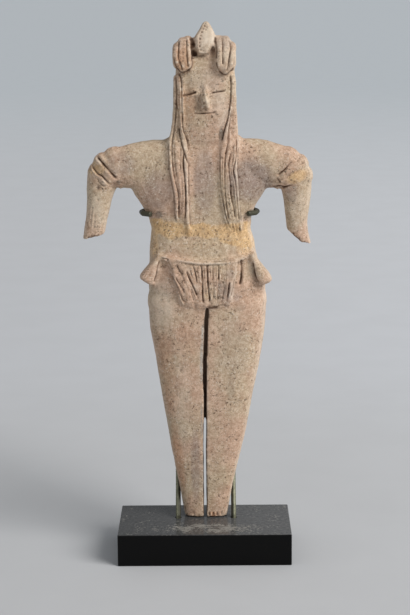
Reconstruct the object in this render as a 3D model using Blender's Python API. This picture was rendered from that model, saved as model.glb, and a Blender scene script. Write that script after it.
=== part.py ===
"""A fired-clay standing figurine on a polished display block, held by two bent metal rods.

Metres, +Z up. The front looks towards -Y, and the origin is the middle of the block's underside.
"""

import math

import bmesh
import bpy
import numpy as np
from mathutils import Vector

# Driving sizes
FIGURE_HEIGHT = 0.2307  # soles to the tip of the crest
BASE_LENGTH = 0.080
BASE_DEPTH = 0.043
BASE_HEIGHT = 0.015
BASE_EDGE = 0.0004  # eased edge of the polished block
ROD_DIAMETER = 0.0025
ROD_STANDOFF = 0.0005  # how far a rod stays off the ankle beside it
ROD_HOLE_FLOOR = 0.006  # what is left of the block under a rod's hole
FIT_GAP = 0.0003  # between pieces that touch

# The clay figure is drawn 230.7 units tall, so that one unit is a millimetre at the real height.
# Heights are above the soles, x runs to the figure's own left hand, and every form is a share of the height.
DRAWN_HEIGHT = 230.7
UNIT = FIGURE_HEIGHT / DRAWN_HEIGHT
SOLE_LEVEL = BASE_HEIGHT + FIT_GAP
BODY_SQUARENESS = 2.8  # 2 is an ellipse, and higher is boxier
CLAY_SIDES = 22
LEG_SIDES = 26
LIMB_SIDES = 14
COIL_SIDES = 8
CREST_SIDES = 12
LINE_SIDES = 6
TORSO_RINGS, ARM_RINGS, LOCK_RINGS, BELT_RINGS, BUN_RINGS = 16, 17, 14, 15, 9
ACROSS_X = Vector((1, 0, 0))
TOWARDS_BACK = Vector((0, 1, 0))

# height, left edge, right edge, middle in y, half depth
TORSO = (
    (101.0, -19.5, 23.5, 4.5, 7.0),
    (106.0, -24.0, 28.3, 4.5, 10.5),
    (112.0, -24.9, 28.8, 4.5, 11.4),
    (118.7, -24.5, 26.8, 4.5, 11.0),
    (125.7, -24.4, 24.8, 4.5, 10.2),
    (132.7, -23.7, 23.5, 4.5, 9.4),
    (139.7, -23.2, 21.8, 4.5, 8.8),
    (145.7, -25.6, 23.3, 4.5, 8.9),
    (151.7, -29.4, 26.4, 4.5, 9.2),
    (158.0, -33.0, 31.0, 4.5, 9.3),
    (165.0, -31.0, 29.0, 4.5, 9.0),
    (172.0, -26.0, 25.5, 4.4, 8.3),
    (177.0, -19.5, 21.5, 4.2, 7.2),
    (180.0, -13.5, 17.0, 4.0, 6.0),
)
HEAD = (
    (165.0, -9.0, 12.0, 5.4, 6.0),
    (172.0, -10.0, 13.0, 4.7, 7.0),
    (179.0, -11.4, 14.6, 4.2, 7.9),
    (185.0, -11.9, 15.2, 3.8, 8.2),
    (191.0, -11.7, 15.3, 3.6, 8.4),
    (198.0, -11.6, 15.4, 3.5, 8.6),
    (205.0, -11.6, 15.4, 3.5, 8.7),
    (210.0, -11.2, 15.0, 3.7, 8.4),
    (214.5, -9.8, 13.4, 3.9, 7.4),
    (218.0, -8.0, 11.5, 4.6, 5.4),
    (221.0, -6.0, 9.5, 5.0, 3.8),
    (222.8, -4.0, 7.5, 5.0, 2.4),
)
# The slit between the legs: height, middle, width, and the y of its floor. It goes right through the lower legs.
LEG_SLIT = (
    (-1.0, 0.30, 1.3, 20.0),
    (17.0, 0.25, 1.3, 20.0),
    (33.0, 0.25, 1.3, 20.0),
    (46.5, 0.52, 1.2, 20.0),
    (48.5, 0.55, 1.2, 3.5),
    (60.0, 0.68, 1.1, 1.0),
    (68.0, 0.70, 1.2, -0.4),
    (77.0, 0.85, 1.2, -1.4),
    (84.0, 1.15, 1.2, -2.2),
    (92.0, 1.45, 1.3, -3.0),
    (97.0, 1.65, 1.3, -3.6),
    (102.6, 2.00, 1.5, -4.4),
)
SLIT_AHEAD = -12.0  # y in front of the legs, where the cut starts
# height, outer edge of the left leg, of the right leg, middle in y, half depth
LEGS = (
    (0.0, -9.3, 10.5, 6.9, 4.5),
    (3.0, -9.9, 11.1, 6.9, 4.8),
    (13.0, -11.5, 12.7, 6.3, 4.6),
    (25.0, -13.8, 15.5, 5.8, 5.5),
    (38.0, -16.0, 18.7, 5.4, 6.8),
    (59.0, -19.2, 22.7, 5.0, 8.8),
    (77.5, -22.1, 26.3, 4.7, 10.3),
    (95.5, -24.9, 29.0, 4.5, 11.4),
    (104.0, -25.3, 29.4, 4.5, 11.6),
    (110.0, -24.4, 28.5, 4.5, 10.2),
    (115.0, -22.9, 26.4, 4.5, 7.6),
    (120.0, -20.2, 23.0, 4.5, 5.0),
)
LEG_RINGS = (0, 1, 5, 13, 25, 38, 48, 58, 68, 78, 92, 103, 110, 115, 120)
# x, height, half width, half depth, from inside the shoulder to past the break
ARM_LEFT = (
    (-8.0, 168.5, 8.6, 7.0),
    (-18.0, 168.2, 10.2, 7.6),
    (-27.0, 167.0, 10.5, 7.4),
    (-34.0, 165.9, 9.8, 7.0),
    (-40.8, 164.9, 8.9, 6.6),
    (-44.5, 161.4, 7.8, 6.2),
    (-45.8, 156.6, 6.6, 5.8),
    (-46.8, 150.5, 5.5, 5.3),
    (-47.8, 143.7, 4.9, 4.9),
    (-48.9, 138.0, 4.8, 4.7),
    (-49.7, 134.8, 4.5, 4.5),
    (-50.6, 131.5, 4.3, 4.3),
    (-51.3, 129.0, 4.1, 4.1),
)
ARM_RIGHT = (
    (10.0, 168.8, 8.6, 7.0),
    (20.0, 168.4, 10.2, 7.6),
    (27.0, 167.0, 11.0, 7.4),
    (33.5, 165.7, 10.1, 7.0),
    (39.1, 164.1, 9.4, 6.6),
    (42.2, 160.2, 8.3, 6.2),
    (43.0, 155.4, 6.9, 5.8),
    (43.2, 150.0, 6.2, 5.3),
    (43.0, 144.3, 5.4, 4.9),
    (43.3, 138.0, 4.8, 4.6),
    (44.4, 133.2, 4.6, 4.4),
    (45.6, 129.3, 4.5, 4.2),
    (46.6, 126.0, 4.3, 4.0),
)
ARM_MIDDLE_Y = 4.5
# Where each forearm is broken off, from the break's left end to its right end: x, height
STUMPS = (((-56.0, 132.7), (-43.0, 136.0)), ((37.0, 138.4), (45.0, 131.3), (52.0, 129.6)))
STUMP_DROP = 12.0  # how far below the break the cutter reaches
STUMP_FRONT, STUMP_BACK = -8.0, 18.0
# Where the coils round each arm sit: share of the arm's length, half length along the arm, height proud
ARMBANDS_LEFT = ((0.430, 1.7, 0.5), (0.482, 1.7, 0.6), (0.530, 1.2, 0.3))
ARMBANDS_RIGHT = ((0.400, 1.7, 0.5), (0.452, 1.7, 0.6), (0.505, 1.6, 0.4))
# A coil's outline, from its upper edge to its lower edge: share of its half length, share of its height
COIL_PROFILE = ((-1, -0.3), (-0.75, 0.7), (0, 1), (0.75, 0.7), (1, -0.3))

# Long coils of clay for the hair, from the temple down: x, height, half width
HAIR = {
    "left_outer": ((-11.5, 207, 0.9), (-11.7, 190, 0.9), (-12.6, 182.5, 1.1), (-13.9, 177, 1.3),
                   (-13.7, 168, 1.3), (-12.6, 160, 1.25), (-11.7, 154, 1.2), (-11.1, 143, 1.1)),
    "left_middle": ((-9.9, 208, 1.0), (-10.0, 194, 1.0), (-10.6, 185, 1.3), (-11.3, 177, 1.6),
                    (-10.7, 169, 1.7), (-9.8, 161, 1.5), (-9.1, 154, 1.35), (-9.0, 144, 1.3)),
    "left_inner": ((-8.4, 206, 0.9), (-8.4, 190, 0.9), (-8.6, 184, 1.0), (-7.8, 178, 1.5),
                   (-7.1, 171, 1.5), (-6.8, 165, 1.4), (-6.5, 154, 1.3), (-6.5, 145, 1.2), (-5.8, 136, 1.0)),
    "right_inner": ((13.7, 207, 0.9), (13.7, 197, 0.9), (12.9, 191, 1.0), (11.6, 185, 1.2),
                    (10.5, 178, 1.5), (9.3, 171, 1.5), (9.2, 163, 1.4), (9.7, 154, 1.4),
                    (10.9, 145, 1.3), (13.0, 138, 1.1)),
    "right_middle": ((15.0, 208, 0.9), (14.9, 193, 0.9), (13.9, 185, 1.1), (13.1, 178, 1.3),
                     (11.8, 171, 1.4), (11.5, 162, 1.4), (12.0, 153, 1.4), (13.2, 145, 1.4),
                     (14.8, 138.5, 1.2)),
    "right_outer": ((15.4, 192, 0.8), (15.3, 182, 1.2), (15.1, 174, 1.6), (14.3, 166, 1.6),
                    (14.5, 159, 1.6), (15.2, 152, 1.6), (16.0, 145, 1.6), (17.6, 137.5, 1.3)),
}
HAIR_PROUD = 1.5  # half the thickness of a lock
HAIR_OUT = 0.1  # how far a lock's middle stands out of the surface that it lies on
# The lobes of the two buns: x at the top, x at the lower rim, half width, top, lower rim
BUN_LOBES = (
    (-10.5, -10.4, 2.0, 221.6, 210.4),
    (-8.0, -8.2, 2.2, 224.0, 208.4),
    (-5.4, -5.6, 2.1, 224.7, 209.9),
    (8.3, 8.2, 2.1, 224.8, 208.8),
    (11.2, 11.1, 2.2, 224.6, 207.4),
    (13.9, 13.7, 2.0, 221.8, 209.2),
)
BUN_HALF_THICK = 2.6
BUN_FRONT, BUN_BACK = -5.6, 11.0  # y of the lobes' middles at the front rim and behind
# The crest, a thick kite-shaped plate: height, left edge, right edge, middle in y, half depth
CREST = (
    (216.6, -1.6, 3.8, -0.4, 4.8),
    (219.0, -2.2, 4.8, -0.4, 4.7),
    (221.7, -2.6, 5.9, -0.4, 4.4),
    (223.6, -2.9, 6.5, -0.4, 4.0),
    (225.2, -1.8, 6.5, -0.4, 3.6),
    (226.8, -0.5, 5.8, -0.3, 3.1),
    (228.6, 0.4, 4.8, -0.1, 2.3),
    (229.8, 1.0, 4.0, 0.1, 1.5),
    (230.7, 1.9, 3.3, 0.2, 0.7),
)
# The nose: height, half width, how far it stands out of the face
NOSE_MIDDLE = 1.9
NOSE_ROOT = 2.0  # how deep in the face the nose starts
NOSE = ((203.5, 0.8, 0.1), (199.0, 1.4, 1.7), (195.5, 2.2, 3.3), (193.4, 2.3, 2.9), (191.6, 1.6, 0.4))
# Incised lines of the face, each from one end to the other
FACE_LINES = (((-7.5, 198.7), (-2.3, 199.7)), ((5.4, 199.6), (10.6, 200.1)), ((-2.7, 190.7), (6.0, 190.9)))
FACE_LINE_HALF_WIDTH, FACE_LINE_DEPTH = 0.45, 1.0

# The fringed apron: the grooves between its strands, x at the top and at the bottom
APRON_TOP, APRON_BOTTOM = 124.4, 104.4
APRON_GROOVES = ((-15.4, -9.5), (-12.0, -8.2), (-7.0, -2.9), (-4.4, -1.6), (-0.7, 0.2), (2.2, 3.0),
                 (4.8, 5.0), (7.3, 6.9), (10.0, 8.6), (12.8, 10.6), (15.8, 12.6))
APRON_PROUD, APRON_GROOVE_DEPTH, APRON_SAG = 2.2, 0.8, 1.6
APRON_ROOT = 2.5  # how deep in the belly the apron's plate starts
APRON_ROWS = 6
GROOVE_SHARE = 0.3  # of the way from one groove to the next, where a strand is at its full height
TOP_GROOVE_SHARE = 0.2  # of the full depth, under the cord
BELT = ((-20.0, 125.8), (-12.0, 124.6), (2.0, 123.6), (15.0, 124.6), (20.5, 125.6))
BELT_HALF_WIDTH, BELT_PROUD = 1.3, 1.5
BELT_OUT = 0.9  # how far the belt's middle stands out of the belly
# The two belt ends on the hips: x, height, half width, half depth
BELT_ENDS = (
    ((-18.8, 127.0, 1.5, 3.2), (-20.4, 123.6, 2.1, 4.2), (-22.2, 120.4, 3.0, 4.8),
     (-24.2, 117.0, 3.7, 5.0), (-25.4, 115.0, 4.0, 4.9), (-25.8, 114.3, 3.5, 4.3)),
    ((22.2, 127.0, 1.5, 3.2), (23.6, 123.6, 1.8, 4.2), (25.5, 119.6, 2.7, 4.8),
     (27.2, 116.3, 3.4, 5.0), (28.2, 114.0, 3.7, 4.9), (28.5, 113.3, 3.2, 4.3)),
)
BELT_END_Y = -1.5
BELT_END_SIDES, BELT_END_SQUARENESS = 10, 3.2
CREST_SQUARENESS = 5.0

# The rods, in the figure's units where they follow it
ROD_FOOT_Y = 3.0  # beside the feet
ROD_ANKLE_HEIGHT = 8.0  # where a rod passes the ankle's side
ROD_HOOK_HEIGHT = 145.2
ROD_HOOK_START, ROD_HOOK_END = 120, 217  # degrees round the chest, from its side to the hook's tip
# How far back the rod has gone at each height, from its foot at 0 to its line behind the figure at 1
ROD_RISE = ((0.0, 0.0), (2.0, 0.01), (6.0, 0.14), (12.0, 0.43), (18.0, 0.65), (26.0, 0.83), (40.0, 0.97), (58.0, 1.0),
            (85.0, 1.0), (112.0, 1.0), (126.0, 0.98))
ROD_POINTS = 38


def smooth(rows, where):
    """The values at one place on a smooth curve through rows, whose first column is the place."""
    rows = np.array(rows, float)
    places, values = rows[:, 0], rows[:, 1:]
    slopes = np.gradient(values, places, axis=0)
    i = int(np.clip(np.searchsorted(places, where) - 1, 0, len(places) - 2))
    step = places[i + 1] - places[i]
    t = float(np.clip((where - places[i]) / step, 0, 1))
    first = (2 * t**3 - 3 * t**2 + 1) * values[i] + (t**3 - 2 * t**2 + t) * step * slopes[i]
    return first + (3 * t**2 - 2 * t**3) * values[i + 1] + (t**3 - t**2) * step * slopes[i + 1]


def smooth_path(points, count):
    """Count points at even steps along a smooth curve through points of any dimension."""
    points = np.array(points, float)
    lengths = np.concatenate([[0], np.cumsum(np.linalg.norm(np.diff(points, axis=0), axis=1))])
    rows = np.column_stack([lengths, points])
    return np.array([smooth(rows, length) for length in np.linspace(0, lengths[-1], count)])


def power(value, exponent):
    return math.copysign(abs(value) ** exponent, value)


def oval(half_x, half_y, degrees, squareness=BODY_SQUARENESS):
    """A point of a rounded box outline."""
    turn = math.radians(degrees)
    return half_x * power(math.cos(turn), 2 / squareness), half_y * power(math.sin(turn), 2 / squareness)


def world(x, y, height):
    """The place in metres of a point drawn in the figure's units."""
    return Vector((x * UNIT, y * UNIT, SOLE_LEVEL + height * UNIT))


def skin(rows, x, height):
    """The y of the front and of the back of a lofted form, near its edge where x is outside it."""
    left, right, middle, depth = smooth(rows, height)
    share = min(abs(x - (left + right) / 2) / ((right - left) / 2), 0.94)
    reach = depth * (1 - share**BODY_SQUARENESS) ** (1 / BODY_SQUARENESS)
    return middle - reach, middle + reach


def front(x, height):
    """The y of the clay's front surface, on the face above and on the chest and belly below."""
    fronts = []
    if height > HEAD[0][0]:
        fronts.append(skin(HEAD, x, height)[0])
    if height < TORSO[-1][0]:
        fronts.append(skin(TORSO, x, height)[0])
    return min(fronts)


def add_object(name, rings):
    """A closed object from rings of points, its ends closed by flat faces."""
    form = bmesh.new()
    rows = [[form.verts.new(point) for point in ring] for ring in rings]
    for low, high in zip(rows, rows[1:]):
        for i in range(len(low)):
            j = (i + 1) % len(low)
            form.faces.new((low[i], low[j], high[j], high[i]))
    form.faces.new(rows[0])
    form.faces.new(rows[-1])
    return finish_object(name, form)


def finish_object(name, form):
    """An object in the scene from a bmesh, its faces pointing out and shaded smooth."""
    bmesh.ops.recalc_face_normals(form, faces=form.faces)
    mesh = bpy.data.meshes.new(name)
    form.to_mesh(mesh)
    form.free()
    mesh.shade_smooth()
    mesh.set_sharp_from_angle(angle=math.radians(50))
    made = bpy.data.objects.new(name, mesh)
    bpy.context.scene.collection.objects.link(made)
    return made


def level_form(name, rows, heights, sides, squareness=BODY_SQUARENESS):
    """A form lofted through level sections."""
    rings = []
    for height in heights:
        left, right, middle, depth = smooth(rows, height)
        ring = []
        for k in range(sides):
            x, y = oval((right - left) / 2, depth, 360 * (k + 0.5) / sides, squareness)
            ring.append(world((left + right) / 2 + x, middle + y, height))
        rings.append(ring)
    return add_object(name, rings)


def swept_form(name, path, halves, sides, across=None, squareness=2.0):
    """A form swept along points, with a half width across and a half thickness at each of them."""
    rings = []
    for i, point in enumerate(path):
        along = (Vector(path[min(i + 1, len(path) - 1)]) - Vector(path[max(i - 1, 0)])).normalized()
        sideways = across or TOWARDS_BACK.cross(along).normalized()
        outwards = along.cross(sideways).normalized()
        ring = []
        for k in range(sides):
            u, v = oval(*map(float, halves[i]), 360 * (k + 0.5) / sides, squareness)
            ring.append(world(*(Vector(point) + sideways * u + outwards * v)))
        rings.append(ring)
    return add_object(name, rings)


def rounded_ends(count, sharpness=0.45):
    """A share for each ring that draws a swept form in at both ends."""
    places = np.linspace(-1, 1, count)
    return np.maximum((1 - np.abs(places) ** (count - 1)) ** 0.5, sharpness)


def torso():
    return level_form("figurine", TORSO, np.linspace(TORSO[0][0], TORSO[-1][0], TORSO_RINGS), CLAY_SIDES)


def head():
    return level_form("head", HEAD, [row[0] for row in HEAD], CLAY_SIDES)


def legs():
    """Both legs as one slab, from the soles up into the hips."""
    return level_form("legs", LEGS, LEG_RINGS, LEG_SIDES)


def leg_slit():
    """A cutter for the slit: it parts the lower legs, and is a deep groove in the front above them."""
    rings = []
    for height, middle, width, floor in LEG_SLIT:
        left, right = middle - width / 2, middle + width / 2
        corners = ((left, SLIT_AHEAD), (right, SLIT_AHEAD), (right, floor), (left, floor))
        rings.append([world(x, y, height) for x, y in corners])
    return add_object("leg_slit", rings)


def arm_path(rows, count):
    """Points and half sizes along an arm."""
    made = smooth_path(rows, count)
    points = [(x, ARM_MIDDLE_Y, height) for x, height in made[:, :2]]
    return points, made[:, 2:]


def arm(name, rows):
    points, halves = arm_path(rows, ARM_RINGS)
    return swept_form(name, points, halves, LIMB_SIDES, squareness=2.3)


def armband(name, rows, place, half_length, proud):
    """A coil of clay round the arm, thickest at its middle and sunk into the arm at both edges."""
    fine = 240
    points, halves = arm_path(rows, fine)
    half_steps = half_length * UNIT * fine / arm_length(rows)
    picked = [round(place * fine + share * half_steps) for share, _ in COIL_PROFILE]
    path = [points[i] for i in picked]
    sizes = [halves[i] + proud * out for i, (_, out) in zip(picked, COIL_PROFILE)]
    return swept_form(name, path, sizes, LIMB_SIDES, squareness=2.3)


def stump_cut(name, edge):
    """A cutter that leaves a forearm with a slanting end, flat between the places of its edge."""
    corners = edge + tuple((x, height - STUMP_DROP) for x, height in reversed(edge))
    return add_object(name, [[world(x, y, height) for x, height in corners] for y in (STUMP_FRONT, STUMP_BACK)])


def arm_length(rows):
    drawn = np.array(rows)[:, :2]
    return float(np.linalg.norm(np.diff(drawn, axis=0), axis=1).sum()) * UNIT


def lock_of_hair(name, route):
    route = smooth_path(route, LOCK_RINGS)
    path = [(x, front(x, height) - HAIR_OUT, height) for x, height, _ in route]
    halves = [(row[2] * share, HAIR_PROUD * share) for row, share in zip(route, rounded_ends(LOCK_RINGS))]
    return swept_form(name, path, halves, COIL_SIDES, squareness=2.4)


def bun_lobe(name, top_x, rim_x, half_width, top, rim):
    """A lobe that rises from the forehead, bends over the head and ends behind it."""
    middle_y, reach = (BUN_FRONT + BUN_BACK) / 2, (BUN_BACK - BUN_FRONT) / 2
    spring = rim + BUN_HALF_THICK
    rise = top - BUN_HALF_THICK - spring
    path = [(rim_x, BUN_FRONT, rim)]
    for degrees in np.linspace(180, 0, BUN_RINGS):
        turn = math.radians(degrees)
        up = math.sin(turn)
        path.append((rim_x + (top_x - rim_x) * up, middle_y + reach * math.cos(turn), spring + rise * up))
    shares = [0.55, 0.95] + [1.0] * (len(path) - 3) + [0.6]
    halves = [(half_width * share, BUN_HALF_THICK * share) for share in shares]
    return swept_form(name, path, halves, COIL_SIDES, across=ACROSS_X, squareness=2.3)


def crest():
    return level_form("crest", CREST, [row[0] for row in CREST], CREST_SIDES, CREST_SQUARENESS)


def nose():
    rows = []
    for height, half_width, out in NOSE:
        face = front(NOSE_MIDDLE, height)
        rows.append((height, NOSE_MIDDLE - half_width, NOSE_MIDDLE + half_width,
                     face + (NOSE_ROOT - out) / 2, (NOSE_ROOT + out) / 2))
    rows.reverse()
    return level_form("nose", rows, [row[0] for row in rows], COIL_SIDES)


def face_line(name, start, end):
    """A cutter for one incised line."""
    shares = (0.3, 0.9, 1.0, 0.9, 0.3)
    route = smooth_path((start, end), len(shares))
    path = [(x, front(x, height), height) for x, height in route]
    halves = [(FACE_LINE_HALF_WIDTH * share, FACE_LINE_DEPTH) for share in shares]
    return swept_form(name, path, halves, LINE_SIDES)


def apron():
    """The fringe: a plate on the belly whose front rises over each strand and dips at each groove."""
    columns = []
    for (top_a, low_a), (top_b, low_b) in zip(APRON_GROOVES, APRON_GROOVES[1:]):
        columns.append((top_a, low_a, 0.0))
        for s in (GROOVE_SHARE, 1 - GROOVE_SHARE):
            columns.append((top_a + (top_b - top_a) * s, low_a + (low_b - low_a) * s, 1.0))
    columns.append((*APRON_GROOVES[-1], 0.0))
    middle = (APRON_GROOVES[0][1] + APRON_GROOVES[-1][1]) / 2
    half = (APRON_GROOVES[-1][1] - APRON_GROOVES[0][1]) / 2
    rings = []
    for top_x, low_x, ridge in columns:
        hem = APRON_BOTTOM - APRON_SAG * (1 - ((low_x - middle) / half) ** 2)
        face, back = [], []
        for s in np.linspace(0, 1, APRON_ROWS):
            x, height = top_x + (low_x - top_x) * s, APRON_TOP + (hem - APRON_TOP) * s
            surface = front(x, max(height, TORSO[1][0]))
            proud = APRON_PROUD - APRON_GROOVE_DEPTH * (1 - ridge) * (1 if 0 < s else TOP_GROOVE_SHARE)
            face.append(world(x, surface - proud, height))
            back.append(world(x, surface + APRON_ROOT, height))
        rings.append(face + back[::-1])
    return add_object("apron", rings)


def belt():
    route = smooth_path(BELT, BELT_RINGS)
    path = [(x, front(x, height) - BELT_OUT, height) for x, height in route]
    halves = [(BELT_HALF_WIDTH * share, BELT_PROUD * share) for share in rounded_ends(BELT_RINGS)]
    return swept_form("belt", path, halves, COIL_SIDES)


def belt_end(name, rows):
    path = [(x, BELT_END_Y, height) for x, height, _, _ in rows]
    return swept_form(name, path, [row[2:] for row in rows], BELT_END_SIDES, squareness=BELT_END_SQUARENESS)


def figurine(clay):
    """The whole clay figure as one solid: its forms joined, and the slit and the face lines cut."""
    body = torso()
    helpers = {"joined_clay": [head(), legs(), arm("arm_left", ARM_LEFT), arm("arm_right", ARM_RIGHT),
                               crest(), nose(), apron(), belt()]}
    helpers["joined_clay"] += [armband(f"band_left_{i}", ARM_LEFT, *band)
                               for i, band in enumerate(ARMBANDS_LEFT)]
    helpers["joined_clay"] += [armband(f"band_right_{i}", ARM_RIGHT, *band)
                               for i, band in enumerate(ARMBANDS_RIGHT)]
    helpers["joined_clay"] += [lock_of_hair(f"hair_{name}", route) for name, route in HAIR.items()]
    helpers["joined_clay"] += [bun_lobe(f"bun_lobe_{i}", *lobe) for i, lobe in enumerate(BUN_LOBES)]
    helpers["joined_clay"] += [belt_end(f"belt_end_{i}", rows) for i, rows in enumerate(BELT_ENDS)]
    helpers["incised_lines"] = [face_line(f"face_line_{i}", *ends) for i, ends in enumerate(FACE_LINES)]
    helpers["incised_lines"] += [stump_cut(f"stump_{i}", edge) for i, edge in enumerate(STUMPS)]
    helpers["incised_lines"].append(leg_slit())
    for group, operation in (("joined_clay", "UNION"), ("incised_lines", "DIFFERENCE")):
        add_boolean(body, group, operation, helpers[group])
    body.data.materials.append(clay)
    return body


def add_boolean(body, group, operation, helpers):
    """A Boolean modifier that joins or cuts with every helper, each shown as a wire and not rendered."""
    collection = bpy.data.collections.new(group)
    bpy.context.scene.collection.children.link(collection)
    for helper in helpers:
        bpy.context.scene.collection.objects.unlink(helper)
        collection.objects.link(helper)
        helper.hide_render = True
        helper.display_type = "WIRE"
    modifier = body.modifiers.new(group, "BOOLEAN")
    modifier.operand_type = "COLLECTION"
    modifier.collection = collection
    modifier.operation = operation
    modifier.solver = "EXACT"
    modifier.use_self = True


def rod_foot(side):
    """Where a rod stands on the block: beside the ankle, and clear of it."""
    ankle = smooth(LEGS, ROD_ANKLE_HEIGHT)[0 if side < 0 else 1]
    x = ankle * UNIT + side * (ROD_STANDOFF + ROD_DIAMETER / 2)
    return x, ROD_FOOT_Y * UNIT


def around_chest(side, degrees):
    """A point of the hook, a rod's radius and the fitting gap off the chest."""
    reach = ROD_DIAMETER / 2 + FIT_GAP
    touching = ROD_HOOK_HEIGHT + ROD_DIAMETER / 2 / UNIT
    left, right, middle, depth = smooth(TORSO, touching)
    x, y = oval((right - left) / 2, depth, degrees)
    near_x, near_y = oval((right - left) / 2, depth, degrees + 1)
    tangent = Vector((near_x - x, near_y - y, 0)).normalized()
    outwards = Vector((tangent.y, -tangent.x, 0))
    point = world((left + right) / 2 - side * x, middle + y, ROD_HOOK_HEIGHT)
    return point + reach * Vector((-side * outwards.x, outwards.y, 0))


def rod(name, side, metal):
    """A rod: up out of its hole, back past the ankle, up behind the figure and round the chest."""
    foot_x, foot_y = rod_foot(side)
    reach = ROD_DIAMETER / 2 + FIT_GAP
    behind = max((row[3] + row[4]) * UNIT for row in TORSO + LEGS) + reach
    hole_bottom = ROD_HOLE_FLOOR + FIT_GAP
    points = [(foot_x, foot_y, hole_bottom), (foot_x, foot_y, (hole_bottom + BASE_HEIGHT) / 2)]
    for height, share in ROD_RISE:
        points.append((foot_x, foot_y + (behind - foot_y) * share, SOLE_LEVEL + height * UNIT))
    for degrees in np.linspace(ROD_HOOK_START, ROD_HOOK_END, 9):
        points.append(tuple(around_chest(side, degrees)))
    route = smooth_path(points, ROD_POINTS)
    curve = bpy.data.curves.new(name, "CURVE")
    curve.dimensions = "3D"
    curve.bevel_depth = ROD_DIAMETER / 2
    curve.bevel_resolution = 2
    curve.use_fill_caps = True
    spline = curve.splines.new("POLY")
    spline.points.add(len(route) - 1)
    for point, place in zip(spline.points, route):
        point.co = (*place, 1)
    curve.materials.append(metal)
    made = bpy.data.objects.new(name, curve)
    bpy.context.scene.collection.objects.link(made)
    return made


def rod_hole(name, side):
    x, y = rod_foot(side)
    form = bmesh.new()
    radius = ROD_DIAMETER / 2 + FIT_GAP
    depth = 2 * (BASE_HEIGHT - ROD_HOLE_FLOOR)
    bmesh.ops.create_cone(form, cap_ends=True, segments=16, radius1=radius, radius2=radius, depth=depth)
    cutter = finish_object(name, form)
    cutter.location = (x, y, BASE_HEIGHT)
    return cutter


def base_block(stone):
    form = bmesh.new()
    bmesh.ops.create_cube(form, size=1)
    bmesh.ops.scale(form, vec=(BASE_LENGTH, BASE_DEPTH, BASE_HEIGHT), verts=form.verts)
    bmesh.ops.translate(form, vec=(0, 0, BASE_HEIGHT / 2), verts=form.verts)
    block = finish_object("base_block", form)
    edge = block.modifiers.new("eased_edge", "BEVEL")
    edge.width = BASE_EDGE
    edge.segments = 2
    add_boolean(block, "rod_holes", "DIFFERENCE", [rod_hole("hole_left", -1), rod_hole("hole_right", 1)])
    block.data.materials.append(stone)
    return block


def material(name, colour, roughness, metallic=0.0):
    made = bpy.data.materials.new(name)
    made.use_nodes = True
    shader = made.node_tree.nodes["Principled BSDF"]
    shader.inputs["Base Color"].default_value = (*colour, 1)
    shader.inputs["Roughness"].default_value = roughness
    shader.inputs["Metallic"].default_value = metallic
    return made


def clear_scene():
    for thing in list(bpy.data.objects):
        bpy.data.objects.remove(thing, do_unlink=True)


def main():
    clear_scene()
    figurine(material("fired_clay", (0.42, 0.27, 0.19), 0.85))
    base_block(material("polished_black", (0.006, 0.006, 0.007), 0.12))
    metal = material("patinated_metal", (0.22, 0.22, 0.15), 0.5, 0.6)
    rod("support_rod_left", -1, metal)
    rod("support_rod_right", 1, metal)


main()
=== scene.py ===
# %% [markdown]
# # A clay figurine on its display block
# The object is a hand-modelled standing figure of fired clay, about 23 cm tall. It stands on a polished black
# block, and two bent metal rods hold it round the chest.
#
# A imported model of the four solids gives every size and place. This lesson never moves them. It makes what
# a solid model leaves out: the fine surface of the clay, the tool marks, the stains, the dust and the light.

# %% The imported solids
import math
from collections import namedtuple

import bmesh
import bpy
import numpy as np
from mathutils import Matrix, Vector, noise


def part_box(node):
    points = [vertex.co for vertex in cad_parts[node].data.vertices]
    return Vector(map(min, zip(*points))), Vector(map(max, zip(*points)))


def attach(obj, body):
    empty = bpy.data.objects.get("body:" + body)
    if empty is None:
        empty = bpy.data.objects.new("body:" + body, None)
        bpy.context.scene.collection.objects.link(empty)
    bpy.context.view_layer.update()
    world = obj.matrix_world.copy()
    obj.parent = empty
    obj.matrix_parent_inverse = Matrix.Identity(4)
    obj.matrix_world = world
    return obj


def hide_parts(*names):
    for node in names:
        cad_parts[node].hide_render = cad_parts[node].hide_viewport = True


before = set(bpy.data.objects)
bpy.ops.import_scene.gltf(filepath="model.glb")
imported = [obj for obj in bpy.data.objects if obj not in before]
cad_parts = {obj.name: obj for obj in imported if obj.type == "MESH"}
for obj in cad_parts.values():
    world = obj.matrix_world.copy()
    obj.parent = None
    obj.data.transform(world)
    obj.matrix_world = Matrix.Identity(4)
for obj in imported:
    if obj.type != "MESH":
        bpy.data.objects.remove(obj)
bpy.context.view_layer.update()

for name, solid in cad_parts.items():
    print(name, len(solid.data.polygons), "faces")


def new_object(name, data):
    made = bpy.data.objects.new(name, data)
    bpy.context.scene.collection.objects.link(made)
    return made


# %% [markdown]
# The figure is drawn in its own units: 230.7 of them from the soles to the tip of the crest. At the real
# height one unit is a millimetre. Heights are measured from the soles, because that is how a sculptor
# would measure it, and x is measured from the block's middle.

# %% The figure's own units
DRAWN_HEIGHT = 230.7
figure_low, figure_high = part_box("figurine")
UNIT = (figure_high.z - figure_low.z) / DRAWN_HEIGHT
SOLES = figure_low.z


def drawn(points):
    """x, y and height in the figure's units, from places in metres."""
    return (points - np.array([0, 0, SOLES])) / UNIT


def in_metres(places):
    return places * UNIT + np.array([0, 0, SOLES])


print(f"one unit is {UNIT * 1000:.3f} mm, and the soles are {SOLES * 1000:.1f} mm up")

# %% [markdown]
# The camera stands where the photographer's stood. Its place was worked out from the six visible corners of
# the block: 718 mm in front of the block's middle, 264 mm up, tilted 11.6 degrees down and half a degree to
# one side. Blender's lens is in millimetres of a 36 mm sensor along the picture's long side, so a focal
# length of 1600 pixels becomes 36 x 1600 / 615.

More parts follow.
